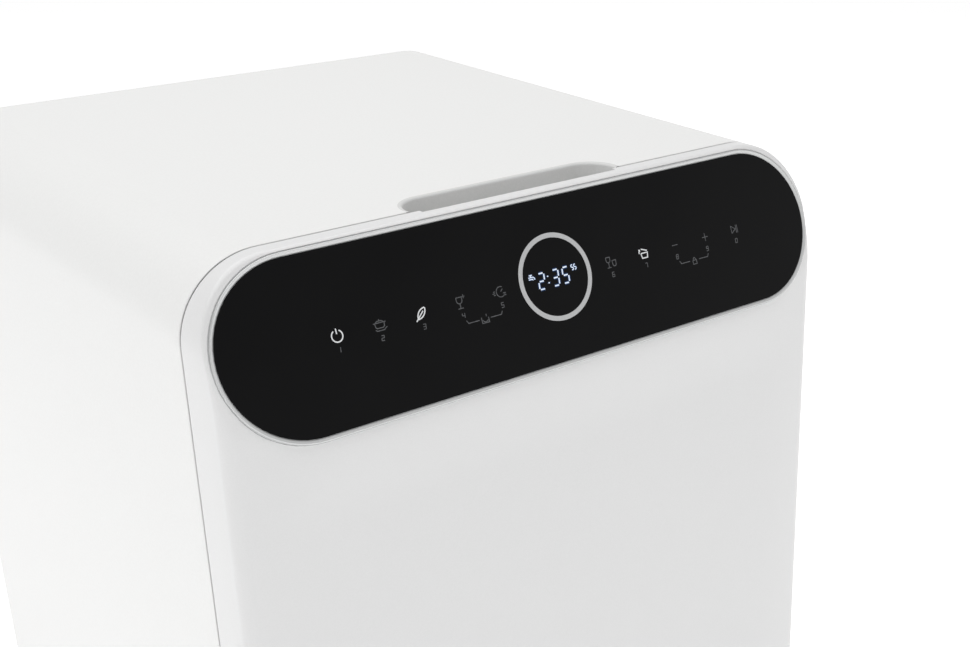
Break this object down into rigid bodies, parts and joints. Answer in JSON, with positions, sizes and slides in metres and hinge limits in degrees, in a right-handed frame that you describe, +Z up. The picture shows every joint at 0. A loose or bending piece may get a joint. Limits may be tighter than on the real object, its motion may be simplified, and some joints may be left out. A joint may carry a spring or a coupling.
{
  "type": "countertop dishwasher",
  "caption": "White countertop dishwasher with a drop-down front door, a leaning black touch panel, a sliding rack, spray arms and a finger recess in its top.",
  "frame": {"origin": "on the table under the middle of the machine's box", "axes": "-Y out of the door, +X to the right seen from the front, +Z up"},
  "size_m": [0.42, 0.4468, 0.435],
  "materials": {
    "white_paint": "smooth white powder coat on sheet steel",
    "white_plastic": "fine satin white moulding",
    "grey_plastic": "matt light grey moulding",
    "dark_plastic": "matt dark moulding",
    "black_glass": "glossy black touch glass",
    "bezel": "satin pale silver trim",
    "ring": "satin silver print",
    "stainless": "brushed stainless steel",
    "zinc": "zinc plated steel",
    "rubber": "dark grey rubber",
    "seal_rubber": "grey soft seal",
    "bitumen": "bitumen damping sheet",
    "rack_coat": "grey nylon coating on steel wire",
    "board": "green circuit board",
    "cap_blue": "blue cap"
  },
  "bodies": {
    "root": {"outer_shell": "white_paint", "finger_recess": "white_plastic", "front_frame": "white_plastic", "base_tray": "white_plastic", "rear_panel": "zinc", "feet": "rubber", "tub": "stainless", "tub_gasket": "seal_rubber", "tub_rails": "white_plastic", "sound_pads": "bitumen", "sump": "grey_plastic", "filter_plate": "stainless", "wash_pump": "dark_plastic", "drain_pump": "dark_plastic", "heater": "stainless", "delivery_pipe": "dark_plastic", "riser_pipe": "grey_plastic", "lower_hub": "grey_plastic", "upper_hub": "grey_plastic", "softener_tank": "white_plastic", "air_break": "white_plastic", "inlet_valve": "white_plastic", "drain_spigot": "grey_plastic", "cord_gland": "dark_plastic", "board_box": "white_plastic", "main_board": "board", "latch_housing": "white_plastic", "door_switch": "dark_plastic", "actuator_box": "white_plastic", "hinge_brackets": "zinc", "hinge_pins": "zinc", "rear_screws": "zinc"},
    "door": {"door_outer": "white_plastic", "door_liner": "stainless", "hinge_arms": "zinc", "control_bezel": "bezel", "control_glass": "black_glass", "display_ring": "ring", "display_module": "dark_plastic", "touch_board": "board", "door_strike": "stainless", "dispenser_housing": "white_plastic", "bottom_seal": "seal_rubber", "liner_screws": "zinc"},
    "rack": {"rack_floor": "rack_coat", "rack_sides": "rack_coat", "rack_ends": "rack_coat", "rack_tines": "rack_coat", "cutlery_basket": "grey_plastic"},
    "cup_shelf": {"cup_shelf": "rack_coat"},
    "lower_spray_arm": {"lower_spray_arm": "grey_plastic"},
    "upper_spray_arm": {"upper_spray_arm": "grey_plastic"},
    "filter_cup": {"filter_cup": "grey_plastic"},
    "salt_cap": {"salt_cap": "grey_plastic"},
    "latch_hook": {"latch_hook": "dark_plastic"},
    "door_pusher": {"door_pusher": "grey_plastic"},
    "leak_float": {"leak_float": "white_plastic"},
    "dispenser_lid": {"dispenser_lid": "grey_plastic"},
    "rinse_cap": {"rinse_cap": "cap_blue"}
  },
  "joints": [
    {"name": "door_hinge", "type": "hinge", "parent": "root", "child": "door", "pos_m": [0, -0.18559, 0.05], "axis": [1, 0, 0], "range_deg": [0, 90]},
    {"name": "rack_slide", "type": "slide", "parent": "root", "child": "rack", "axis": [0, -1, 0], "range_m": [0, 0.134]},
    {"name": "cup_shelf_fold", "type": "hinge", "parent": "rack", "child": "cup_shelf", "pos_m": [-0.145, 0, 0.228], "axis": [0, 1, 0], "range_deg": [-90, 0]},
    {"name": "lower_spray_spin", "type": "hinge", "parent": "root", "child": "lower_spray_arm", "pos_m": [0, -0.00659, 0.1], "axis": [0, 0, 1], "continuous": true},
    {"name": "upper_spray_spin", "type": "hinge", "parent": "root", "child": "upper_spray_arm", "pos_m": [0, -0.00659, 0.358], "axis": [0, 0, 1], "continuous": true},
    {"name": "filter_turn", "type": "hinge", "parent": "root", "child": "filter_cup", "pos_m": [0.096, 0.05541, 0.084], "axis": [0, 0, 1], "range_deg": [0, 90]},
    {"name": "salt_cap_turn", "type": "hinge", "parent": "root", "child": "salt_cap", "pos_m": [-0.102, 0.07141, 0.086], "axis": [0, 0, 1], "range_deg": [0, 360]},
    {"name": "latch_swing", "type": "hinge", "parent": "root", "child": "latch_hook", "pos_m": [0, -0.14459, 0.405], "axis": [1, 0, 0], "range_deg": [0, 10]},
    {"name": "opener_push", "type": "slide", "parent": "root", "child": "door_pusher", "axis": [0, -1, 0], "range_m": [0, 0.03]},
    {"name": "float_lift", "type": "slide", "parent": "root", "child": "leak_float", "axis": [0, 0, 1], "range_m": [0, 0.012]},
    {"name": "dispenser_lid_slide", "type": "slide", "parent": "door", "child": "dispenser_lid", "axis": [-1, 0, 0], "range_m": [0, 0.06]},
    {"name": "rinse_cap_turn", "type": "hinge", "parent": "door", "child": "rinse_cap", "pos_m": [0.042, -0.17759, 0.24], "axis": [0, 1, 0], "range_deg": [0, 90]}
  ],
  "couplings": [
    {"joint": "rack_slide", "follows": "door_hinge", "m_per_rad": 0.085},
    {"joint": "opener_push", "follows": "door_hinge", "m_per_rad": 0.019}
  ]
}
